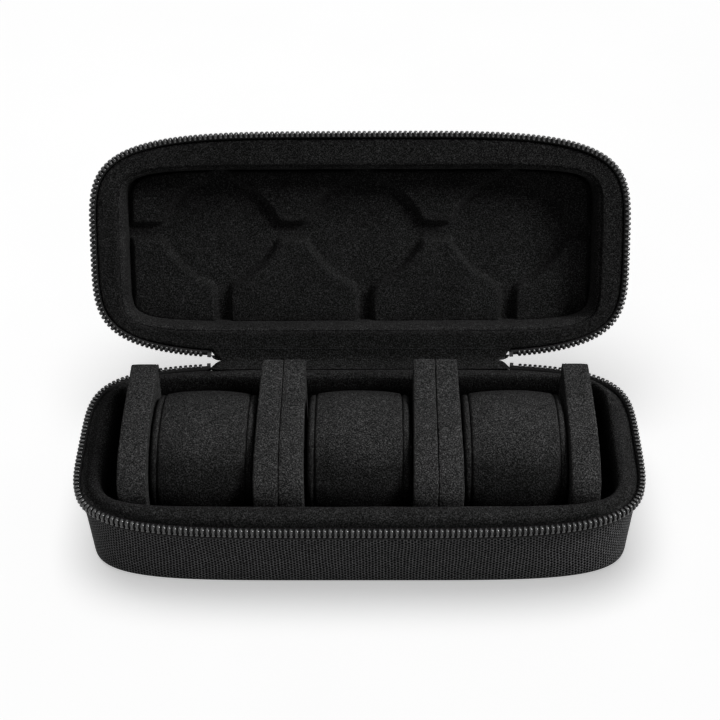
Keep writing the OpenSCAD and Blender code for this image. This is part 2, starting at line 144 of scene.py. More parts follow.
def loft(name, rows, material, uv_rows=None, close=True, caps=(False, False)):
    """Skin over rows of points. uv_rows holds one (u, v) for each point."""
    n = len(rows[0])
    verts = [p for row in rows for p in row]
    faces, uv = [], []
    for k in range(len(rows) - 1):
        for i in range(n if close else n - 1):
            j = (i + 1) % n
            faces.append((k * n + i, k * n + j, (k + 1) * n + j, (k + 1) * n + i))
            if uv_rows:
                a, b = uv_rows[k], uv_rows[k + 1]
                ua, ub = a[j], b[j]
                if j == 0:
                    ua, ub = (ua[0] + RIM_LENGTH, ua[1]), (ub[0] + RIM_LENGTH, ub[1])
                uv += [a[i], ua, ub, b[i]]
    if caps[0]:
        faces.append(tuple(range(n - 1, -1, -1)))
        uv += [(0, 0)] * n if uv_rows else []
    if caps[1]:
        base = (len(rows) - 1) * n
        faces.append(tuple(range(base, base + n)))
        uv += [(0, 0)] * n if uv_rows else []
    return recalc(new_mesh(name, verts, faces, material, uv if uv_rows else None))


def rim_loft(name, place, rings, material, caps=(False, False), arc=None):
    """Loft of rings around the case: rings are functions of a direction that
    return (x, y, depth)."""
    qs = arc or RING_Q
    rows, uvs, run = [], [], 0.0
    before = None
    step = RIM_LENGTH / RING_N
    for ring in rings:
        pts = [ring(q) for q in qs]
        row = [place(*p) for p in pts]
        if before:
            run += (row[len(row) // 4] - before[len(row) // 4]).length / MM
        rows.append(row)
        uvs.append([(i * step, run) for i in range(len(qs))])
        before = row
    return loft(name, rows, material, uvs, close=arc is None, caps=caps)


class Sock:
    """A shader socket that takes part in Python arithmetic."""

    def __init__(self, tree, out=None):
        self.tree, self.out = tree, out

    def node(self, kind, *values, props=None, out=0, **named):
        made = self.tree.nodes.new(kind)
        for key, value in (props or {}).items():
            setattr(made, key, value)
        for key, value in [*enumerate(values), *named.items()]:
            if isinstance(value, Sock):
                self.tree.links.new(value.out, made.inputs[key])
            elif value is not None:
                made.inputs[key].default_value = value
        return Sock(self.tree, made.outputs[out]) if made.outputs else None

    def math(self, operation, *others):
        return self.node("ShaderNodeMath", self, *others, props={"operation": operation})

    def __add__(self, other):
        return self.math("ADD", other)

    def __mul__(self, other):
        return self.math("MULTIPLY", other)

    def __truediv__(self, other):
        return self.math("DIVIDE", other)

    def span(self, a, b, c=0.0, d=1.0):
        """From a to b becomes from c to d, held at both ends."""
        return self.node("ShaderNodeMapRange", self, a, b, c, d)

    def grey(self, tint=(1, 1, 1)):
        return self.node("ShaderNodeCombineColor", *[self * t for t in tint])


def new_material(name, **fixed):
    """Principled material. Fixed numbers go on the shader's own sockets."""
    material = bpy.data.materials.new(name)
    material.use_nodes = True
    shader = material.node_tree.nodes["Principled BSDF"]
    for key, value in fixed.items():
        shader.inputs[key.replace("_", " ")].default_value = value
    return material, shader, Sock(material.node_tree)


def wire(shader, **sockets):
    for key, sock in sockets.items():
        sock.tree.links.new(sock.out, shader.inputs[key.replace("_", " ")])


def place_of(s):
    """Object coordinates in millimetres."""
    coords = s.node("ShaderNodeTexCoord", out=3)
    return s.node("ShaderNodeVectorMath", coords, props={"operation": "SCALE"}, Scale=1000.0)


def cloud(s, where, scale, detail=2.0, rough=0.5):
    return s.node("ShaderNodeTexNoise", Vector=where, Scale=scale, Detail=detail, Roughness=rough)


def weave(name, tone):
    """Ballistic nylon: short doubled floats in a brick pattern, with a slight drift,
    as cloth has over a moulded form. The colour follows the weave's height, with
    painted shade in the pores and painted highlights on the floats."""
    material, shader, s = new_material(name, Specular_IOR_Level=0.02)
    uv = s.node("ShaderNodeUVMap", props={"uv_map": "grain"})
    where = place_of(s)
    drift = cloud(s, where, 0.045, 1.0)
    parts = s.node("ShaderNodeSeparateXYZ", uv)
    u = Sock(s.tree, parts.out)
    v = Sock(s.tree, parts.out.node.outputs[1])
    u = (u + drift * 2.2) / FLOAT_W
    v = (v + drift * 2.8) / FLOAT_H
    columns = (u * math.pi * 2).math("COSINE")
    pores = columns * 0.38 + (u * math.pi).math("COSINE") * (v * math.pi).math("COSINE") * 0.62
    height = pores.span(-0.42, 0.3, 1.0, 0.0)
    fine = cloud(s, where, 0.9, 2.0)
    # Painted shade and highlight: dark in the pores, bright on the raised floats.
    level = height * height * 3.3 * fine.span(0.35, 0.65, 0.6, 1.5)
    wire(shader, Base_Color=(level * tone).grey((1, 1, 1.02)),
         Roughness=fine.span(0.3, 0.7, 0.5, 0.66))
    bump = s.node("ShaderNodeBump", 0.8, 0.0003, Height=height)
    wire(shader, Normal=bump)
    return material


WEAVE = weave("nylon_weave", 0.0275)


def rim_ring(inset, depth):
    """Ring that follows the rim's outline."""
    return lambda q: (*rim(q, inset), depth)


def foot_ring(inset, depth, squareness, share=1.0):
    """Ring at this share of the way from the rim's outline to the foot's."""
    def ring(q):
        x0, y0 = rim(q, WALL_IN)
        x1, y1 = oval(q, HALF_W, HALF_D, squareness)
        nx, ny = oval_normal(x1, y1, HALF_W, HALF_D, squareness)
        x1, y1 = x1 - inset * nx, y1 - inset * ny
        return x0 + (x1 - x0) * share, y0 + (y1 - y0) * share, depth
    return ring


def cover_half(name, node, body, place, height, edge, taper, squareness):
    """Skin of one half: down its wall, round an edge of this radius and over
    the flat, where the weave runs straight."""
    low = WALL_IN + taper * (height - edge - TAPER_TOP)
    rings = [rim_ring(WALL_IN, depth) for depth in TURN_IN]
    rings += [foot_ring(low, WALL_TOP + (height - edge - WALL_TOP) * t, squareness, t)
              for t in (0.0, 0.12, 0.25, 0.4, 0.55, 0.7, 0.85, 1.0)]
    for step in range(1, 11):
        turn = math.radians(9 * step)
        rings.append(foot_ring(
            low + edge * (1 - math.cos(turn)), height - edge + edge * math.sin(turn), squareness))
    flat = len(rings) - 1

    def inner(share):
        def ring(q):
            x, y, depth = rings[flat](q)
            return x * share, y * share, depth
        return ring
    rings += [inner(share) for share in (0.93, 0.7, 0.35, 0.05)]
    obj = rim_loft(name, place, rings, WEAVE, caps=(False, True))
    layer = obj.data.uv_layers["grain"]
    for poly in obj.data.polygons:
        rows = [obj.data.loops[c].vertex_index // RING_N for c in poly.loop_indices]
        if min(rows) >= flat:
            for c in poly.loop_indices:
                co = obj.data.vertices[obj.data.loops[c].vertex_index].co / MM
                layer.data[c].uv = (co.x, co.y - co.z if body == "lid" else co.y)
    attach(obj, body)
    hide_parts(node)


cover_half("base_cover_cloth", "base_cover", "base", in_base, BASE_H, FOOT_R, FOOT_TAPER, FOOT_POWER)
cover_half("lid_cover_cloth", "lid_cover", "lid", in_lid, LID_H, CROWN_R, CROWN_TAPER, POWER)


# Base lining: short-napped velour over foam. It makes the padded lip beside
# the zip, rolls over into the wall and is glued down over the floor. It also
# hides the moulded shell.
LIP_START = WALL_IN + 0.2
FLOOR_DEPTH = 37.8
# Sections of the lip, as share of the way from the zip to the opening and
# depth, and of the wall, as inset and depth.
BASE_LIP = [(0.0, 2.6), (0.02, 2.2), (0.1, 2.0), (0.2, 1.5), (0.3, 0.6), (0.4, -0.4), (0.52, -1.15),
            (0.67, -1.5), (0.8, -1.3), (0.91, -0.5), (0.97, 0.7), (1.0, 2.4)]
BASE_WALL = [(0.15, 4.2), (0.6, 8), (1.2, 20), (2.2, 32), (3.0, 35.6), (4.6, 37.3), (7.2, FLOOR_DEPTH)]


class Mouth:
    """Outline of the opening inside a padded rim: half its width, its reach to
    the front and to the back, and its squareness."""

    def __init__(self, half_w, front, back, n):
        self.a, self.b, self.n = half_w, (front + back) / 2, n
        self.y0 = (back - front) / 2

    def at(self, q, inset=0.0):
        x, y = oval(q, HALF_W, HALF_D, POWER)
        q2 = math.atan2(y * self.b / HALF_D, x * self.a / HALF_W)
        x, y = oval(q2, self.a, self.b, self.n)
        nx, ny = oval_normal(x, y, self.a, self.b, self.n)
        return x - inset * nx, y - inset * ny + self.y0


def smooth_path(points, steps=6):
    """Smooth curve through the points of a section."""
    out = []
    for i in range(len(points) - 1):
        p0 = points[max(i - 1, 0)]
        p1, p2 = points[i], points[i + 1]
        p3 = points[min(i + 2, len(points) - 1)]
        for k in range(steps):
            t = k / steps
            out.append(tuple(
                0.5 * (2 * b + (c - a) * t + (2 * a - 5 * b + 4 * c - d) * t * t
                       + (3 * b - a - 3 * c + d) * t ** 3)
                for a, b, c, d in zip(p0, p1, p2, p3)))
    out.append(tuple(points[-1]))
    return out


def lip_ring(mouth, k, depth):
    """Ring at the share k of the way from the zip to the mouth."""
    def ring(q):
        x0, y0 = rim(q, LIP_START)
        x1, y1 = mouth.at(q)
        return x0 + (x1 - x0) * k, y0 + (y1 - y0) * k, depth
    return ring


def wall_ring(mouth, inset, depth):
    """Ring that follows the opening's outline."""
    return lambda q: (*mouth.at(q, inset), depth)


def quilt(obj, amount, scale, seed=0.0):
    """Soft unevenness of a hand-laid lining."""
    shift = Vector((seed, seed, seed))
    moved = []
    for co, normal in [(v.co.copy(), v.normal.copy()) for v in obj.data.vertices]:
        moved.extend(co + normal * noise.noise(co * (1000 / scale) + shift) * amount * MM)
    obj.data.vertices.foreach_set("co", moved)
    obj.data.update()
    return obj


def suede(name, tone, painted_shade_heights=None, edge=None, sheen=0.0):
    """Short-napped velour: bright fibre ends on a darker ground. Its first optional
    argument holds two heights and a share: below them, painted shade darkens the
    velour to that share. edge is the width of a strip of painted shade beside
    the zip, along the front of the case."""
    material, shader, s = new_material(
        name, Roughness=0.95, Specular_IOR_Level=0.01, Sheen_Weight=sheen, Sheen_Roughness=0.4)
    where = place_of(s)
    fibre = cloud(s, where, 1.7, 2.0, 0.6)
    tuft = cloud(s, where, 0.55, 1.0)
    brushed = cloud(s, where, 0.06, 3.0)
    tips = fibre.span(0.36, 0.7)
    level = ((tips * tips * 3.2 + 0.4) * tuft.span(0.3, 0.7, 0.8, 1.2)
             * brushed.span(0.3, 0.7, 0.85, 1.15))
    spot = s.node("ShaderNodeSeparateXYZ", where) if painted_shade_heights or edge else None
    # Painted shade: the velour darkens below the given heights.
    if painted_shade_heights:
        height = Sock(s.tree, spot.out.node.outputs[2])
        level = level * height.span(painted_shade_heights[0], painted_shade_heights[1], painted_shade_heights[2], 1.0)
    # Painted shade: a darker strip beside the zip, only along the front of the case.
    if edge:
        across = s.node("ShaderNodeSeparateXYZ", s.node(
            "ShaderNodeUVMap", props={"uv_map": "grain"}), out=1)
        behind = Sock(s.tree, spot.out.node.outputs[1]).span(-50.0, -40.0)
        level = level * across.span(edge * 0.35, edge, 0.3, 1.0).math("MAXIMUM", behind)
    wire(shader, Base_Color=(level * tone).grey())
    bump = s.node("ShaderNodeBump", 0.7, 0.0004, Height=fibre + tuft * 0.5)
    wire(shader, Normal=bump)
    return material


# Painted shade on the walls and floor below the lip, and in a strip beside the zip at the front.
RIM_SUEDE = suede("rim_suede", 0.0128, painted_shade_heights=(33, 41, 0.3), edge=4.6)
BASE_MOUTH = Mouth(118.4, 40.4, 43.4, 8.0)
base_rings = [lip_ring(BASE_MOUTH, k, d) for k, d in smooth_path(BASE_LIP, 4)]
base_rings += [wall_ring(BASE_MOUTH, i, d) for i, d in smooth_path(BASE_WALL, 3)]
base_rings += [wall_ring(BASE_MOUTH, i, FLOOR_DEPTH) for i in (12, 22, 32, 39)]
lining = rim_loft("base_lining_velour", in_base, base_rings, RIM_SUEDE, caps=(False, True))
quilt(lining, 0.25, 22)
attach(lining, "base")
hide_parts("base_lining", "base_shell")


# Lid lining: the same velour, laid over a flatter foam lip and glued down the
# lid's wall as far as the panel. It also hides the lid's moulded shell.
LID_LIP = [(0.0, 3.4), (0.01, 2.6), (0.05, 2.0), (0.16, 1.75), (0.5, 2.0), (0.8, 2.1),
           (0.93, 2.35), (1.0, 3.2)]
LID_WALL = [(0.0, 3.6), (-0.2, 4.4), (-0.2, 5.6), (0.2, 10), (0.9, 21), (1.0, 23.4)]
LID_MOUTH = Mouth(118.4, 39.4, 42.4, 8.0)
# A darker copy of the base's velour: painted shade on the lid lining and the inner hinge strip.
SHADED_LINING_SUEDE = suede("lining_suede", 0.0093)
lid_rings = [lip_ring(LID_MOUTH, k, d) for k, d in smooth_path(LID_LIP, 4)]
lid_rings += [wall_ring(LID_MOUTH, i, d) for i, d in smooth_path(LID_WALL, 3)]
lip = quilt(rim_loft("lid_lining_velour", in_lid, lid_rings, SHADED_LINING_SUEDE), 0.2, 22, 3.0)
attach(lip, "lid")
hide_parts("lid_lining", "lid_shell")


# Lid band: a padded velour band that stands around inside the lid's wall. Its
# upper edge is sewn down, which leaves a groove under the lip.
# Section as inset from the opening's outline and depth.
BAND = [(-0.2, 4.7), (0.3, 4.6), (1.0, 5.2), (1.6, 6.6), (2.1, 9.0), (2.4, 12),
        (2.4, 18), (2.3, 22.3), (0.8, 22.9), (0.7, 12), (-0.2, 6)]
# A lighter copy of the lid's velour: painted light on the band.
LIT_BAND_SUEDE = suede("lit_band_suede", 0.0138)
band_rings = [wall_ring(LID_MOUTH, i, d) for i, d in smooth_path(BAND, 4)]
band = quilt(rim_loft("lid_band_pad", in_lid, band_rings, LIT_BAND_SUEDE), 0.2, 18, 5.0)
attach(band, "lid")
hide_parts("lid_band")


# Lid panel: velour on foam, heat-moulded into raised pads around three round
# recesses that clear the watches. Short channels join the recesses to the
# band and to each other. It is glued into the lid.
PANEL_D, PAD_H, PAD_CROWN, PAD_WAVE = 22.7, 4.2, 0.6, 0.12
PANEL_HALF_W, PANEL_FRONT, PANEL_BACK = 117.5, -38.8, 41.6
RECESS_R, RECESS_H, RECESS_N = 28.6, 26.7, 1.6
RECESS_Y, RECESS_SHIFT, RECESS_STEP = -5.4, 2.3, 71.9
CHANNEL_W, NECK_H = 5.3, 6.0
BAND_CLEAR, BACK_CLEAR = 3.6, 0.4  # from the wall to the pads, and at the back


def ramp(x, a, b):
    """Smooth step from 0 at a to 1 at b."""
    t = min(max((x - a) / (b - a), 0.0), 1.0)
    return t * t * (3 - 2 * t)


def soft_min(a, b, k):
    """Lesser of two distances, blended over k."""
    h = max(k - abs(a - b), 0.0) / k
    return min(a, b) - h * h * k * 0.25


def lens_distance(x, y):
    """Distance from the edge of a recess with two soft points."""
    fx, fy = abs(x) / RECESS_R + 1e-6, abs(y) / RECESS_H + 1e-6
    f = (fx ** RECESS_N + fy ** RECESS_N) ** (1 / RECESS_N)
    slope = f ** (1 - RECESS_N) * math.hypot(
        fx ** (RECESS_N - 1) / RECESS_R, fy ** (RECESS_N - 1) / RECESS_H)
    return (f - 1) / slope


def recess_distance(x, y):
    """Distance from the edge of the recesses, necks and channels."""
    d = abs(y - RECESS_Y) - NECK_H / 2
    for k in (-1, 0, 1):
        cx = k * RECESS_STEP + RECESS_SHIFT
        hollow = soft_min(lens_distance(x - cx, y - RECESS_Y), abs(x - cx) - CHANNEL_W / 2, 5.0)
        d = soft_min(d, hollow, 3.0)
    return d


def wall_distance(x, y):
    """How far a point lies inside the lid's opening."""
    m = LID_MOUTH
    fx, fy = abs(x) / m.a, abs(y - m.y0) / m.b
    slope = math.hypot(m.n * fx ** (m.n - 1) / m.a, m.n * fy ** (m.n - 1) / m.b)
    return (1 - fx ** m.n - fy ** m.n) / max(slope, 1e-3)


def pad_lift(x, y):
    """Height of the padding above the recesses."""
    clear = BAND_CLEAR - (BAND_CLEAR - BACK_CLEAR) * ramp(y, 24, 35)
    d = min(recess_distance(x, y), wall_distance(x, y) - clear)
    lift = PAD_H * ramp(d, -0.5, 2.5) + PAD_CROWN * (1 - math.exp(-max(d, 0) / 5))
    return lift + PAD_WAVE * noise.noise(Vector((x, y, 0)) / 19)


def panel(columns=294, rows=104):
    """Field of pads and recesses, in even columns and rows."""
    skin, uvs = [], []
    for j in range(rows + 1):
        y = PANEL_FRONT + (PANEL_BACK - PANEL_FRONT) * j / rows
        line = [(-PANEL_HALF_W + 2 * PANEL_HALF_W * i / columns, y) for i in range(columns + 1)]
        skin.append([in_lid(x, y, PANEL_D - pad_lift(x, y)) for x, y in line])
        uvs.append(line)
    return loft("lid_panel_velour", skin, PANEL_SUEDE, uvs, close=False)


PANEL_SUEDE = suede("panel_suede", 0.0102, sheen=0.012)
pads = panel()
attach(pads, "lid")
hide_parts("lid_panel")


# Zip tapes and bindings: on each half a dark woven tape carries the coil, and a
# narrow smooth binding under it covers the seam with the outer skin. Both are
# sewn around the rim and stop at the hinge.
HINGE_HALF = 74.0  # half of the stretch that has no zip
ZIP_END = 0.2  # from the end of the hinge to the tape
# Sections as inset from the rim's outline and depth.
TAPE_PATH = [(1.1, 1.5), (1.6, 1.1), (3.4, 1.0), (3.4, 5.5),
             (2.6, 5.5), (2.5, 4.3), (1.5, 4.0), (1.1, 3.4)]
BIND_PATH = [(3.3, 5.5), (2.2, 5.3), (1.5, 5.5), (1.3, 6.0), (1.5, 6.5), (2.2, 6.8), (3.3, 6.9)]


def band_cloth(name, tone, rib):
    """Smooth narrow webbing with a fine rib along its grain."""
    material, shader, s = new_material(name, Roughness=0.6, Specular_IOR_Level=0.1)
    where = place_of(s)
    uv = s.node("ShaderNodeUVMap", props={"uv_map": "grain"})
    u = Sock(s.tree, s.node("ShaderNodeSeparateXYZ", uv).out)
    ribs = (u * (2 * math.pi / rib)).math("SINE")
    fine = cloud(s, where, 1.1, 2.0)
    wire(shader, Base_Color=(fine.span(0.3, 0.7, 0.75, 1.25) * (ribs * 0.12 + 1.0) * tone).grey())
    bump = s.node("ShaderNodeBump", 0.3, 0.0001, Height=ribs)
    wire(shader, Normal=bump)
    return material


def open_run():
    """Directions around the rim from one end of the hinge to the other."""
    return [q for q in even_angles(RING_N, math.pi / 2)[0]
            if not (rim(q)[1] > 0 and abs(rim(q)[0]) < HINGE_HALF + ZIP_END)]


def strip(name, node, body, place, path, material):
    """Closed section swept along the zipped part of the rim."""
    rings = [rim_ring(i, d) for i, d in path]
    obj = rim_loft(name, place, rings + rings[:1], material, arc=open_run())
    ends = bmesh.new()
    ends.from_mesh(obj.data)
    bmesh.ops.remove_doubles(ends, verts=ends.verts, dist=1e-6)
    bmesh.ops.holes_fill(ends, edges=[e for e in ends.edges if e.is_boundary])
    ends.to_mesh(obj.data)
    ends.free()
    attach(obj, body)
    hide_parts(node)


TAPE = band_cloth("zip_tape_cloth", 0.004, 0.6)
BINDING = band_cloth("rim_binding", 0.0105, 0.9)
for body, place in (("base", in_base), ("lid", in_lid)):
    strip(f"{body}_tape_cloth", f"{body}_tape", body, place, TAPE_PATH, TAPE)
    strip(f"{body}_binding", f"{body}_piping", body, place, BIND_PATH, BINDING)


# Zip coils: two rows of glossy nylon teeth, one monofilament bent into a head,
# a waist and a foot at each turn, and sewn to the edge of the tape.
PITCH = 2.48
COIL_DEPTH = 0.05  # from the parting plane to the teeth
FIRST_TOOTH = 3.0  # from the end of the hinge
# Path and half widths of one tooth: X runs along the zip, Y outwards, Z up.
TOOTH_PATH = [(0.3, -2.5, -4.0), (0.15, -1.7, -4.15), (0.05, -1.0, -4.0), (0, -0.72, -3.55),
              (0, -0.78, -2.9), (0, -0.86, -2.2), (0, -0.8, -1.5), (0, -0.78, -0.95),
              (0.03, -1.1, -0.6), (0.08, -1.7, -0.5), (0.16, -2.5, -0.5), (0.25, -3.1, -0.7)]
TOOTH_R = [(0.6, 0.35), (0.85, 0.42), (1.0, 0.55), (0.92, 0.6), (0.66, 0.5), (0.6, 0.5), (0.72, 0.55),
           (0.9, 0.6), (0.9, 0.5), (0.8, 0.42), (0.7, 0.36), (0.55, 0.3)]


def gloss(name, tone, rough, specular):
    """Lacquer or nylon with faint scuffs."""
    material, shader, s = new_material(name, Specular_IOR_Level=specular)
    where = place_of(s)
    scuff = cloud(s, where, 0.7, 3.0)
    wire(shader, Base_Color=(scuff.span(0.3, 0.7, 0.8, 1.2) * tone).grey((1, 1, 1.02)),
         Roughness=scuff.span(0.3, 0.7, rough * 0.8, rough * 1.3))
    bump = s.node("ShaderNodeBump", 0.15, 0.0001, Height=scuff)
    wire(shader, Normal=bump)
    return material


def sweep(points, radii, sides=8):
    """Oval tube through points, as vertices and faces."""
    verts, faces = [], []
    pts = [Vector(p) for p in points]
    normal = Vector((1, 0, 0))
    for i, p in enumerate(pts):
        tangent = (pts[min(i + 1, len(pts) - 1)] - pts[max(i - 1, 0)]).normalized()
        normal = (normal - tangent * normal.dot(tangent)).normalized()
        side = tangent.cross(normal)
        for k in range(sides):
            a = 2 * math.pi * k / sides
            rx, ry = radii[i]
            verts.append(p + normal * math.cos(a) * rx + side * math.sin(a) * ry)
    for i in range(len(pts) - 1):
        for k in range(sides):
            j = (k + 1) % sides
            faces.append((i * sides + k, i * sides + j, (i + 1) * sides + j, (i + 1) * sides + k))
    faces.append(tuple(range(sides - 1, -1, -1)))
    faces.append(tuple(range((len(pts) - 1) * sides, len(pts) * sides)))
    return verts, faces


def row_of_teeth():
    """Geometry nodes that set one tooth on every point, turned by the point's
    own angles, as one real mesh."""
    tree = bpy.data.node_groups.new("row_of_teeth", "GeometryNodeTree")
    tree.interface.new_socket("Points", in_out="INPUT", socket_type="NodeSocketGeometry")
    tree.interface.new_socket("Piece", in_out="INPUT", socket_type="NodeSocketObject")
    tree.interface.new_socket("Size", in_out="INPUT", socket_type="NodeSocketFloat")
    tree.interface.new_socket("Finish", in_out="INPUT", socket_type="NodeSocketMaterial")
    tree.interface.new_socket("Geometry", in_out="OUTPUT", socket_type="NodeSocketGeometry")
    g = Sock(tree)
    source = g.node("NodeGroupInput")
    inputs = {o.name: Sock(tree, o) for o in source.out.node.outputs}
    piece = g.node("GeometryNodeObjectInfo", inputs["Piece"], out="Geometry")
    turn = g.node("GeometryNodeInputNamedAttribute", props={"data_type": "FLOAT_VECTOR"}, Name="turn")
    placed = g.node("GeometryNodeInstanceOnPoints", Points=inputs["Points"], Instance=piece,
                    Rotation=turn, Scale=inputs["Size"])
    real = g.node("GeometryNodeRealizeInstances", placed)
    real = g.node("GeometryNodeSetMaterial", real, Material=inputs["Finish"])
    g.node("NodeGroupOutput", real)
    return tree


def set_teeth(name, points, turns):
    """Row of teeth as a plain mesh."""
    mesh = bpy.data.meshes.new(name)
    mesh.from_pydata([tuple(p) for p in points], [], [])
    turn = mesh.attributes.new("turn", "FLOAT_VECTOR", "POINT")
    for i, t in enumerate(turns):
        turn.data[i].vector = t
    obj = bpy.data.objects.new(name, mesh)
    bpy.context.scene.collection.objects.link(obj)
    mod = obj.modifiers.new("teeth", "NODES")
    mod.node_group = teeth_tree
    ids = {i.name: i.identifier for i in teeth_tree.interface.items_tree if i.in_out == "INPUT"}
    mod[ids["Piece"]] = tooth
    mod[ids["Size"]] = 1.0
    mod[ids["Finish"]] = COIL
    bpy.context.view_layer.update()
    done = bpy.data.meshes.new_from_object(obj.evaluated_get(bpy.context.evaluated_depsgraph_get()))
    obj.modifiers.clear()
    obj.data = done
    for poly in done.polygons:
        poly.use_smooth = True
    return obj


def coil(name, node, body, place):
    """Teeth at even steps, standing square to the rim."""
    count = round(RIM_LENGTH / PITCH)
    points, turns = [], []
    for q in even_angles(count, math.pi / 2)[0]:
        x, y = rim(q)
        if y > 0 and abs(x) < HINGE_HALF + FIRST_TOOTH:
            continue
        nx, ny = oval_normal(x, y, HALF_W, HALF_D, POWER)
        out = (place(x + nx, y + ny, 0) - place(x, y, 0)).normalized()
        up_axis = (place(x, y, -1) - place(x, y, 0)).normalized()
        along = out.cross(up_axis)
        rot = Matrix((along, out, up_axis)).transposed()
        points.append(place(x, y, COIL_DEPTH))
        turns.append(tuple(rot.to_euler()))
    obj = set_teeth(name, points, turns)
    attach(obj, body)
    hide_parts(node)


COIL = gloss("zip_coil", 0.009, 0.2, 0.55)
verts, faces = sweep([Vector(p) * MM for p in TOOTH_PATH], [(a * MM, b * MM) for a, b in TOOTH_R])
tooth = recalc(new_mesh("one_tooth", verts, faces, COIL))
teeth_tree = row_of_teeth()
coil("base_coil", "base_teeth", "base", in_base)
coil("lid_coil", "lid_teeth", "lid", in_lid)
bpy.data.objects.remove(tooth)


# Hinge cloths: a woven strip outside and a velour strip inside join the halves
# at the back. Each is sewn to both rims and folds between them when the case
# opens or shuts.
CLOTH_T = 0.6
HINGE_LAP = 0.5  # over the ends of the zip tapes
HINGE_HOLLOW, HOLLOW_POWER = 6.0, 1.5


def hinge_cloth(name, nodes, section, material):
    """Strip along X whose section holds (place, y, depth) across the hinge."""
    path = [place(0, y, d) for place, y, d in section]
    fine = smooth_path([(p.y, p.z) for p in path], 5)
    normals = []
    for i, (y, z) in enumerate(fine):
        a, b = fine[max(i - 1, 0)], fine[min(i + 1, len(fine) - 1)]
        t = Vector((b[0] - a[0], b[1] - a[1])).normalized()
        normals.append((t.y, -t.x))
    thick = CLOTH_T * MM
    outline = [(y + n[0] * thick / 2, z + n[1] * thick / 2) for (y, z), n in zip(fine, normals)]
    outline += [(y - n[0] * thick / 2, z - n[1] * thick / 2)
                for (y, z), n in reversed(list(zip(fine, normals)))]
    steps, last = 60, len(fine) - 1
    # The free ends of the cloth are cut hollow, so that the fold lies flat.
    halves = [HINGE_HALF + HINGE_LAP - HINGE_HOLLOW * (1 - abs(2 * j / last - 1)) ** HOLLOW_POWER
              for j in range(last + 1)]
    halves += halves[::-1]
    rows, uvs = [], []
    for i in range(steps + 1):
        share = (-1 + 2 * i / steps) * MM
        rows.append([Vector((share * half, y, z)) for half, (y, z) in zip(halves, outline)])
        uvs.append([(share * half * 1000, j * 1.0) for j, half in enumerate(halves)])
    obj = loft(name, rows, material, uvs, caps=(True, True))
    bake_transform(obj)
    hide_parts(*nodes)
    width = sum(math.hypot(b[0] - a[0], b[1] - a[1]) for a, b in zip(fine, fine[1:]))


hinge_cloth(
    "hinge_outer_cloth", ["hinge_base_leaf", "hinge_lid_leaf"],
    [(in_base, 55.6, 6.9), (in_base, 56.0, 3.5), (in_base, 56.3, 1.2), (in_base, 56.75, 0.1),
     (in_lid, 56.3, 1.2), (in_lid, 56.0, 3.5), (in_lid, 55.6, 6.9)],
    WEAVE)
hinge_cloth(
    "hinge_inner_cloth", ["hinge_base_flap", "hinge_lid_flap"],
    [(in_base, 50.6, 0.7), (in_base, 52.0, 0.75), (in_base, 54.0, 0.7), (in_base, 55.6, 0.5),
     (in_base, 56.3, 0.3), (in_lid, 55.6, 0.5), (in_lid, 54.0, 0.7), (in_lid, 52.0, 0.75),
     (in_lid, 50.6, 0.7)],
    SHADED_LINING_SUEDE)


# Boards: stiff cloth-covered boards that carry the cheeks of each unit. They
# lie on the lining's floor and keep their solids.
def dress(node, material):
    """Give a solid of the part its finish."""
    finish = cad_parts[node].data.materials
    finish.clear()
    finish.append(material)


BOARD = suede("unit_board_cloth", 0.02)
for node in ("board_left", "board_middle", "board_right"):
    dress(node, BOARD)


# End stops: small lacquered metal clamps, squeezed over the ends of both rows
# of teeth beside the hinge. They keep their solids.
LACQUER = gloss("zip_lacquer", 0.02, 0.32, 0.6)
for node in ("base_stop_left", "base_stop_right", "lid_stop_left", "lid_stop_right"):
    dress(node, LACQUER)


# Padded cheeks: arched foam slabs wrapped in velour and glued to the boards,
# two beside each pillow and a little thicker in front. Their edges are crisp,
# and neighbours stand back to back with a narrow seam between them.
CHEEK_TOP, CHEEK_LOW = 17.5, -36.3  # from the parting plane
ARCH_Y, ARCH_Z, ARCH_N, ARCH_STEPS = 8.0, -8.0, 2.9, 22  # centre, squareness, points
BACK_CORNER = 2.0
WRAP_EDGE = 0.9  # rounding of a wrapped edge
FOAM_CROWN = 0.12  # bulge of the foam between its two faces
SEAM, SEAM_GAP, CHEEK_T = 36.3, 0.15, 11.0  # X of a seam, half its gap, thickness
END_X, END_T = 109.5, 13.0  # the same for the outer cheeks
# Reach to the front and to the back, and how much thicker the front is.
PAIR = {"front": 38.8, "back": 39.2, "flare": 1.0}
OUTER = {"front": 36.7, "back": 36.0, "flare": 0.8, "seam_edge": WRAP_EDGE}


def cheek_outline(front, back):
    """Section of a cheek: foot, arched front and top, square back corner."""
    r = BACK_CORNER
    pts = [(-front + 5.6, CHEEK_LOW), (-front + 3.8, CHEEK_LOW + 2.6), (-front + 1.4, CHEEK_LOW + 12),
           (-front + 0.5, CHEEK_LOW + 20)]
    for k in range(ARCH_STEPS):
        t = math.radians(90 * k / ARCH_STEPS)
        pts.append((ARCH_Y - (front + ARCH_Y) * math.cos(t) ** (2 / ARCH_N),
                    ARCH_Z + (CHEEK_TOP - ARCH_Z) * math.sin(t) ** (2 / ARCH_N)))
    pts.append((ARCH_Y, CHEEK_TOP))
    for k in range(7):
        t = math.radians(15 * k)
        pts.append((back - r + r * math.sin(t), CHEEK_TOP - r + r * math.cos(t)))
    pts += [(back, 4), (back, -8), (back - 0.5, CHEEK_LOW + 20), (back - 1.4, CHEEK_LOW + 12),
            (back - 3.8, CHEEK_LOW + 2.6), (back - 5.6, CHEEK_LOW)]
    return pts


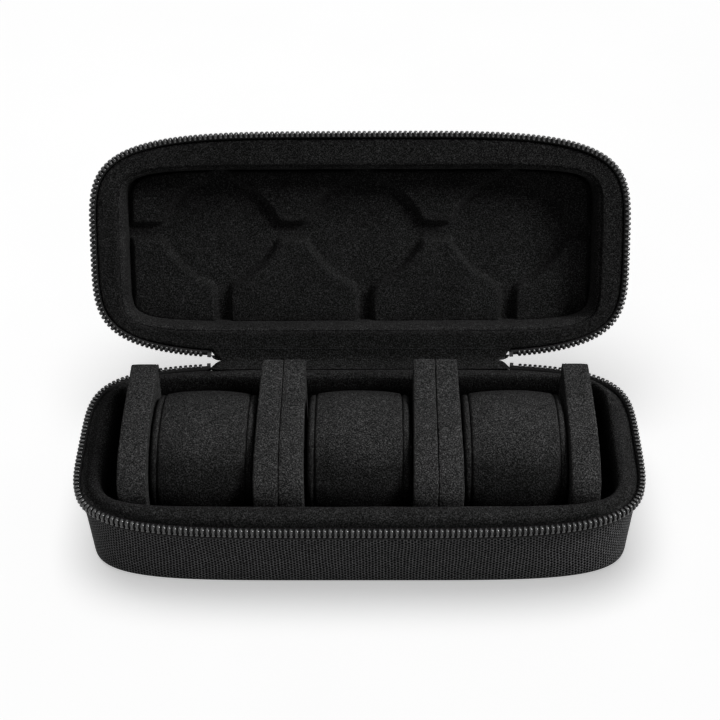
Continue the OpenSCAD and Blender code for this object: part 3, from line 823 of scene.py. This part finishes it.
def resample(points, step):
    """Even steps along a closed outline."""
    pts = [*points, points[0]]
    run = [0.0]
    for a, b in zip(pts, pts[1:]):
        run.append(run[-1] + math.dist(a, b))
    count = round(run[-1] / step)
    out, j = [], 0
    for k in range(count):
        want = run[-1] * k / count
        while j < len(run) - 2 and run[j + 1] < want:
            j += 1
        t = (want - run[j]) / max(run[j + 1] - run[j], 1e-9)
        out.append(tuple(a + (b - a) * t for a, b in zip(pts[j], pts[j + 1])))
    return out


def offset_loop(points, e):
    """Closed outline moved inwards by e, along its own normals."""
    n = len(points)
    out = []
    for i, p in enumerate(points):
        a, b = points[i - 1], points[(i + 1) % n]
        t = Vector((b[0] - a[0], b[1] - a[1])).normalized()
        out.append((p[0] + t.y * e, p[1] - t.x * e))
    return out


def cheek(name, node, seam_side, pillow_side, front, back, flare, seed, seam_edge=0.5):
    """Slab between two faces: seam_side and pillow_side are their X."""
    outline = resample(cheek_outline(front, back), 1.2)
    away = math.copysign(1, pillow_side - seam_side)
    thick = abs(pillow_side - seam_side)

    def corner(e):
        return [(0.0, e * 1.15), (e * 0.13, e * 0.5), (e * 0.5, e * 0.13), (e, 0.0)]
    steps = corner(seam_edge) + [(thick * f, -FOAM_CROWN) for f in (0.25, 0.5, 0.75)]
    steps += [(thick - x, e) for x, e in reversed(corner(WRAP_EDGE))]
    rows = []
    for x, e in steps:
        row = []
        for y, z in offset_loop(outline, e):
            f = flare * (0.5 - (y + front) / (front + back)) * (x / thick)
            row.append(Vector((seam_side + away * (x + f), y, z + BASE_H)) * MM)
        rows.append(row)
    obj = loft(name, rows, CHEEK_SUEDE, caps=(True, True))
    quilt(obj, 0.18, 9, seed)
    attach(obj, "base")
    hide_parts(node)


CHEEK_SUEDE = suede("cheek_suede", 0.0225)
cheek("cheek_left_outer_pad", "cheek_left_outer", -END_X, -END_X + END_T, seed=1.0, **OUTER)
cheek("cheek_left_inner_pad", "cheek_left_inner", -SEAM - SEAM_GAP, -SEAM - CHEEK_T, seed=2.0, **PAIR)
cheek("cheek_middle_left_pad", "cheek_middle_left", -SEAM + SEAM_GAP, -SEAM + CHEEK_T, seed=3.0, **PAIR)
cheek("cheek_middle_right_pad", "cheek_middle_right", SEAM - SEAM_GAP, SEAM - CHEEK_T, seed=4.0, **PAIR)
cheek("cheek_right_inner_pad", "cheek_right_inner", SEAM + SEAM_GAP, SEAM + CHEEK_T, seed=5.0, **PAIR)
cheek("cheek_right_outer_pad", "cheek_right_outer", END_X, END_X - END_T, seed=6.0, **OUTER)


# Watch pillows: a velour sleeve drawn over a soft core, with a rounded pad sewn
# on at each end over a seam groove. They press in between the cheeks and lift
# out.
PILLOW_HALF, PILLOW_UP, PILLOW_N = 33.5, 26.75, 2.15  # half depth and height, squareness
PILLOW_C = -9.45  # height of its axis from the parting plane
PILLOW_STEP, PILLOW_SIDES = 71.9, 120
SLEEVE = 20.2  # half length
SLEEVE_CROWN, SEAM_GROOVE = 1.7, 0.8
TURNED = [(-0.35, 4.5), (0.0, 2.6)]  # turned-in end of the sleeve: outwards, inwards
# Section of an end pad: outwards from the sleeve's end, inwards from its outline.
END_PAD = [(-0.1, 5.0), (0.05, 3.2), (0.35, 2.5), (0.9, 2.1), (1.7, 2.1), (2.4, 2.4), (3.0, 3.1),
           (3.4, 4.3), (3.55, 6.0), (3.5, 10), (3.5, 17), (3.5, 24)]


def pillow_loop(x, e):
    """Section across a pillow at x, moved inwards by e."""
    out = []
    for i in range(PILLOW_SIDES):
        t = 2 * math.pi * i / PILLOW_SIDES
        y = (PILLOW_HALF - e) * power(math.cos(t), 2 / PILLOW_N)
        up = (PILLOW_UP - e) * power(math.sin(t), 2 / PILLOW_N)
        out.append(Vector((x, y, BASE_H + PILLOW_C + up)) * MM)
    return out


def pillow(side, x, seed):
    """Sleeve and two end pads, around X = x."""
    near = (0.9, 0.94, 0.965, 0.985, 1)
    along = [-v for v in reversed(near)] + [-1 + i / 8 for i in range(1, 16)] + list(near)
    rows = [pillow_loop(x - SLEEVE - out, e) for out, e in TURNED]
    for v in along:
        tight = SLEEVE_CROWN * abs(v) ** 2.3 + SEAM_GROOVE * ramp(abs(v), 0.96, 1.0)
        rows.append(pillow_loop(x + v * SLEEVE, tight))
    rows += [pillow_loop(x + SLEEVE + out, e) for out, e in reversed(TURNED)]
    sleeve = loft(f"pillow_{side}_sleeve", rows, PILLOW_SUEDE, caps=(True, True))
    quilt(sleeve, 0.15, 16, seed)
    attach(sleeve, f"pillow_{side}")
    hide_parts(f"pillow_{side}_cover", f"pillow_{side}_core")
    for mark, way in (("a", -1), ("b", 1)):
        rows = [pillow_loop(x + way * (SLEEVE + out), e) for out, e in smooth_path(END_PAD, 3)]
        end = loft(f"pillow_{side}_end_{mark}", rows, PILLOW_SUEDE, caps=(True, True))
        quilt(end, 0.15, 12, seed + way)
        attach(end, f"pillow_{side}")
        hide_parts(f"pillow_{side}_ring_{mark}")


# Painted shade over the lower part of each pillow, darker towards the bottom.
PILLOW_SUEDE = suede("pillow_suede", 0.025, painted_shade_heights=(50, 63, 0.36))
pillow("left", -PILLOW_STEP, 11.0)
pillow("middle", 0.0, 12.0)
pillow("right", PILLOW_STEP, 13.0)


# Sliders and pull tabs: cast metal, lacquered black. A slider runs on both rows
# of teeth, and its plain tab hangs from it on a small bail.
METAL_EDGE = 0.2


def soften(node, body):
    """The part's solid with its sharp edges rounded off."""
    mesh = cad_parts[node].data.copy()
    work = bmesh.new()
    work.from_mesh(mesh)
    bmesh.ops.remove_doubles(work, verts=work.verts, dist=1e-6)
    bmesh.ops.dissolve_limit(work, angle_limit=math.radians(2), verts=work.verts, edges=work.edges)
    sharp = [e for e in work.edges
             if len(e.link_faces) == 2 and e.calc_face_angle(0) > math.radians(40)]
    bmesh.ops.bevel(
        work, geom=sharp, offset=METAL_EDGE * MM, segments=2, affect="EDGES", clamp_overlap=True)
    work.to_mesh(mesh)
    work.free()
    mesh.materials.clear()
    mesh.materials.append(LACQUER)
    obj = bpy.data.objects.new(node + "_lacquered", mesh)
    bpy.context.scene.collection.objects.link(obj)
    for poly in mesh.polygons:
        poly.use_smooth = False
    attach(obj, body)
    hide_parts(node)


for side in ("left", "right"):
    soften(f"slider_{side}", f"slider_{side}")
    soften(f"pull_{side}", f"pull_{side}")


# Floor and backdrop: a flat sheet of white paper that keeps the case's soft
# shadow, in a white room. Both show white to the camera and in reflections,
# and light the case little.
PAPER_GLOW, ROOM_GLOW = 0.48, 0.085


def in_sight(s):
    """1 where the camera, a reflection or a clear surface sees the backdrop."""
    path = s.node("ShaderNodeLightPath")
    rays = path.out.node.outputs
    seen = path.math("MAXIMUM", Sock(s.tree, rays["Is Glossy Ray"]))
    return seen.math("MAXIMUM", Sock(s.tree, rays["Is Transmission Ray"]))


world = bpy.data.worlds.new("studio")
world.use_nodes = True
bpy.context.scene.world = world
room = world.node_tree.nodes["Background"]
room.inputs["Color"].default_value = (1, 1, 1, 1)
wire(room, Strength=in_sight(Sock(world.node_tree)) * (1 - ROOM_GLOW) + ROOM_GLOW)

PAPER, paper_shader, s = new_material("floor_paper", Roughness=0.9, Specular_IOR_Level=0.0)
speck = cloud(s, place_of(s), 0.01, 2.0)
paper_shader.inputs["Emission Color"].default_value = (1, 1, 1, 1)
wire(paper_shader, Base_Color=speck.span(0.3, 0.7, 0.93, 0.95).grey(),
     Emission_Strength=in_sight(s) * PAPER_GLOW)
LEFT, RIGHT, NEAR, FAR, LOW = -4, 4, -3, 5, -0.0002  # metres
floor = new_mesh("floor", [(LEFT, NEAR, LOW), (RIGHT, NEAR, LOW), (RIGHT, FAR, LOW), (LEFT, FAR, LOW)],
                 [(0, 1, 2, 3)], PAPER, smooth=False)


# Lamps: a key lamp on the right, a wide one above and a low one in front. The
# key and front lamps leave out the paper, and a soft sun lights the paper
# alone, so that it holds only a soft shadow.
AIM = (0, 0, 0.05)  # metres, as where a lamp stands and its size
SKY_LIGHT, SKY_ANGLE, SKY_FROM = 0.72, math.radians(42), (0.0, 0.35, 1.5)


def lamp(name, where, size, watts):
    """Square-edged soft lamp that faces the case."""
    light = bpy.data.lights.new(name, "AREA")
    light.shape = "RECTANGLE"
    light.size, light.size_y = size
    light.energy = watts
    obj = bpy.data.objects.new(name, light)
    obj.location = where
    obj.rotation_euler = (Vector(AIM) - Vector(where)).to_track_quat("-Z", "Y").to_euler()
    bpy.context.scene.collection.objects.link(obj)
    return obj


def light_linked(name, lamps, state):
    """Include or exclude the paper for these lamps."""
    group = bpy.data.collections.new(name)
    group.objects.link(floor)
    for one in lamps:
        one.light_linking.receiver_collection = group
    group.collection_objects[0].light_linking.link_state = state


key = lamp("key_lamp", (1.2, -0.15, 1.35), (0.55, 0.55), 37)
lamp("top_lamp", (-0.1, 0.3, 1.8), (1.3, 1.0), 9)
front = lamp("front_lamp", (0.3, -1.7, 0.16), (1.4, 0.2), 4.2)
sky = bpy.data.objects.new("paper_lamp", bpy.data.lights.new("paper_lamp", "SUN"))
sky.data.energy = SKY_LIGHT
sky.data.angle = SKY_ANGLE
sky.rotation_euler = Vector(SKY_FROM).to_track_quat("Z", "Y").to_euler()
bpy.context.scene.collection.objects.link(sky)
light_linked("case_only", [key, front], "EXCLUDE")
light_linked("paper_only", [sky], "INCLUDE")


# Camera, fitted to the outlines of both rims: its bearing, height and roll,
# its distance from the point that it looks at, and its focal length.
AZ, EL, ROLL = math.radians(0.976), math.radians(42.54), math.radians(-0.781)
DIST, FOCAL_PX, SENSOR, FRAME_PX = 689.5, 1541.9, 36, 720
TARGET = Vector((0.946, 0, BASE_H + 52.0)) * MM
back = Vector((math.sin(AZ) * math.cos(EL), -math.cos(AZ) * math.cos(EL), math.sin(EL)))
right = Vector((math.cos(AZ), math.sin(AZ), 0))
up = back.cross(right)
right, up = (right * math.cos(ROLL) + up * math.sin(ROLL),
             up * math.cos(ROLL) - right * math.sin(ROLL))
camera = bpy.data.objects.new("camera", bpy.data.cameras.new("camera"))
camera.data.sensor_width = SENSOR
camera.data.lens = FOCAL_PX * SENSOR / FRAME_PX
camera.data.clip_start, camera.data.clip_end = 0.01, 20
eye = TARGET + back * DIST * MM
camera.matrix_world = Matrix((
    (right.x, up.x, back.x, eye.x),
    (right.y, up.y, back.y, eye.y),
    (right.z, up.z, back.z, eye.z),
    (0, 0, 0, 1)))
bpy.context.scene.collection.objects.link(camera)
bpy.context.scene.camera = camera
bpy.context.scene.view_settings.view_transform = "Standard"
